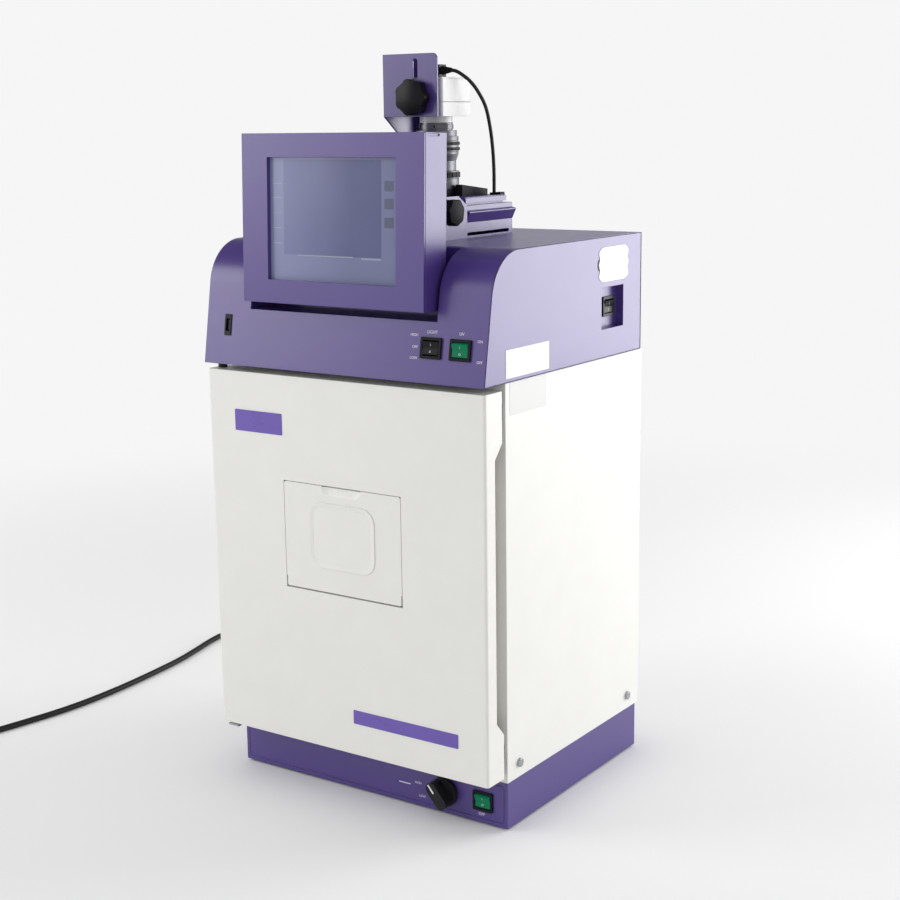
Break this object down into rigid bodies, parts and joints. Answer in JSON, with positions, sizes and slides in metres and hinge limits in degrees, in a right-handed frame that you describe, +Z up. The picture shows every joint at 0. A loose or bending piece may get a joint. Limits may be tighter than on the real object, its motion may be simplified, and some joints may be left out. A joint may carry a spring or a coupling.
{
  "type": "gel documentation system",
  "caption": "Benchtop gel imaging cabinet with a hinged door, viewing flap, ultraviolet base, tilting touch screen, and a camera with zoom lens above a curved control housing.",
  "frame": {"origin": "on the bench under the middle of the instrument without its mains cord", "axes": "+X to the instrument's right as seen from the front, -Y out of the door, +Z up"},
  "size_m": [0.7544, 0.6154, 0.7791],
  "materials": {
    "transilluminator_case": "satin powder coat",
    "transilluminator_panel": "satin powder coat",
    "transilluminator_deck": "satin powder coat",
    "filter_glass": "ultraviolet pass filter",
    "filter_frame": "brushed",
    "uv_tubes": "frosted",
    "lamp_tray": "brushed",
    "base_electronics": "matte",
    "base_feet": "matte",
    "power_inlets": "matte",
    "rocker_bezels": "matte",
    "cabinet_shell": "satin powder coat",
    "cabinet_frame": "satin powder coat",
    "door_seal": "matte",
    "machine_screws": "brushed",
    "door_hinges": "brushed",
    "door_catches": "matte",
    "epi_lamps": "matte",
    "housing_shell": "satin powder coat",
    "housing_floor": "brushed",
    "port_tube": "black anodised",
    "emission_filter": "optical filter",
    "usb_socket": "matte",
    "lens_pedestal": "satin powder coat",
    "pedestal_cap": "satin powder coat",
    "cable_hood": "matte",
    "monitor_bracket": "satin powder coat",
    "camera_bracket": "satin powder coat",
    "mains_connector": "matte",
    "mains_cord": "matte",
    "mains_coil": "matte",
    "mains_plug": "matte",
    "door_panel": "satin powder coat",
    "door_liner": "satin powder coat",
    "hinge_bushes": "matte",
    "window_frame": "matte",
    "window_pane": "amber ultraviolet-blocking acrylic",
    "flap_pin": "brushed",
    "window_flap": "satin powder coat",
    "monitor_arm": "satin powder coat",
    "monitor_case": "satin powder coat",
    "monitor_bezel": "satin powder coat",
    "display_panel": "touch screen",
    "tilt_knob": "matte",
    "camera_body": "satin",
    "camera_base": "satin",
    "mount_ring": "satin",
    "lens_barrel": "black anodised",
    "camera_plug": "matte",
    "camera_cable": "matte",
    "camera_knob": "matte",
    "iris_ring": "satin",
    "zoom_ring": "black anodised",
    "focus_ring": "black anodised",
    "intensity_knob": "matte",
    "base_rocker": "gloss",
    "white_rocker": "gloss",
    "uv_rocker": "gloss",
    "power_rocker": "gloss"
  },
  "bodies": {
    "chassis": {"transilluminator_case": "transilluminator_case", "transilluminator_panel": "transilluminator_panel", "transilluminator_deck": "transilluminator_deck", "filter_glass": "filter_glass", "filter_frame": "filter_frame", "uv_tubes": "uv_tubes", "lamp_tray": "lamp_tray", "base_electronics": "base_electronics", "base_feet": "base_feet", "power_inlets": "power_inlets", "rocker_bezels": "rocker_bezels", "cabinet_shell": "cabinet_shell", "cabinet_frame": "cabinet_frame", "door_seal": "door_seal", "machine_screws": "machine_screws", "door_hinges": "door_hinges", "door_catches": "door_catches", "epi_lamps": "epi_lamps", "housing_shell": "housing_shell", "housing_floor": "housing_floor", "port_tube": "port_tube", "emission_filter": "emission_filter", "usb_socket": "usb_socket", "lens_pedestal": "lens_pedestal", "pedestal_cap": "pedestal_cap", "cable_hood": "cable_hood", "monitor_bracket": "monitor_bracket", "camera_bracket": "camera_bracket", "mains_connector": "mains_connector", "mains_cord": "mains_cord", "mains_coil": "mains_coil", "mains_plug": "mains_plug"},
    "door": {"door_panel": "door_panel", "door_liner": "door_liner", "hinge_bushes": "hinge_bushes", "window_frame": "window_frame", "window_pane": "window_pane", "flap_pin": "flap_pin"},
    "viewing_flap": {"window_flap": "window_flap"},
    "monitor": {"monitor_arm": "monitor_arm", "monitor_case": "monitor_case", "monitor_bezel": "monitor_bezel", "display_panel": "display_panel"},
    "tilt_clamp": {"tilt_knob": "tilt_knob"},
    "camera": {"camera_body": "camera_body", "camera_base": "camera_base", "mount_ring": "mount_ring", "lens_barrel": "lens_barrel", "camera_plug": "camera_plug", "camera_cable": "camera_cable"},
    "camera_clamp": {"camera_knob": "camera_knob"},
    "iris": {"iris_ring": "iris_ring"},
    "zoom": {"zoom_ring": "zoom_ring"},
    "focus": {"focus_ring": "focus_ring"},
    "intensity": {"intensity_knob": "intensity_knob"},
    "base_switch": {"base_rocker": "base_rocker"},
    "white_light_switch": {"white_rocker": "white_rocker"},
    "uv_switch": {"uv_rocker": "uv_rocker"},
    "power_switch": {"power_rocker": "power_rocker"}
  },
  "joints": [
    {"name": "door_swing", "type": "hinge", "parent": "chassis", "child": "door", "pos_m": [-0.169, -0.13784, 0.2575], "axis": [0, 0, -1], "range_deg": [0, 110]},
    {"name": "flap_drop", "type": "hinge", "parent": "door", "child": "viewing_flap", "pos_m": [-0.0015, -0.14934, 0.2388], "axis": [1, 0, 0], "range_deg": [0, 110]},
    {"name": "monitor_tilt", "type": "hinge", "parent": "chassis", "child": "monitor", "pos_m": [0, -0.04484, 0.619], "axis": [-1, 0, 0], "range_deg": [0, 20]},
    {"name": "tilt_clamp_turn", "type": "hinge", "parent": "chassis", "child": "tilt_clamp", "pos_m": [0.068, -0.04484, 0.619], "axis": [1, 0, 0], "range_deg": [0, 360]},
    {"name": "camera_slide", "type": "slide", "parent": "chassis", "child": "camera", "axis": [0, 0, 1], "range_m": [-0.005, 0.02], "deforming": ["camera_cable"]},
    {"name": "camera_clamp_turn", "type": "hinge", "parent": "camera", "child": "camera_clamp", "pos_m": [0, -0.01884, 0.7345], "axis": [0, -1, 0], "range_deg": [0, 360]},
    {"name": "iris_turn", "type": "hinge", "parent": "camera", "child": "iris", "pos_m": [0, 0.02516, 0.692], "axis": [0, 0, 1], "range_deg": [-40, 40]},
    {"name": "zoom_turn", "type": "hinge", "parent": "camera", "child": "zoom", "pos_m": [0, 0.02516, 0.684], "axis": [0, 0, 1], "range_deg": [-45, 45]},
    {"name": "focus_turn", "type": "hinge", "parent": "camera", "child": "focus", "pos_m": [0, 0.02516, 0.656], "axis": [0, 0, 1], "range_deg": [-60, 60]},
    {"name": "intensity_turn", "type": "hinge", "parent": "chassis", "child": "intensity", "pos_m": [0.0979, -0.12584, 0.026], "axis": [0, 1, 0], "range_deg": [-95, 175]},
    {"name": "base_switch_rock", "type": "hinge", "parent": "chassis", "child": "base_switch", "pos_m": [0.1453, -0.11534, 0.026], "axis": [-1, 0, 0], "range_deg": [0, 16]},
    {"name": "white_light_rock", "type": "hinge", "parent": "chassis", "child": "white_light_switch", "pos_m": [0.1133, -0.15016, 0.49622], "axis": [-1, 0, 0], "range_deg": [-8, 8]},
    {"name": "uv_rock", "type": "hinge", "parent": "chassis", "child": "uv_switch", "pos_m": [0.1473, -0.15016, 0.49622], "axis": [-1, 0, 0], "range_deg": [0, 16]},
    {"name": "power_rock", "type": "hinge", "parent": "chassis", "child": "power_switch", "pos_m": [0.1665, 0.09766, 0.515], "axis": [0, -1, 0], "range_deg": [0, 16]}
  ]
}
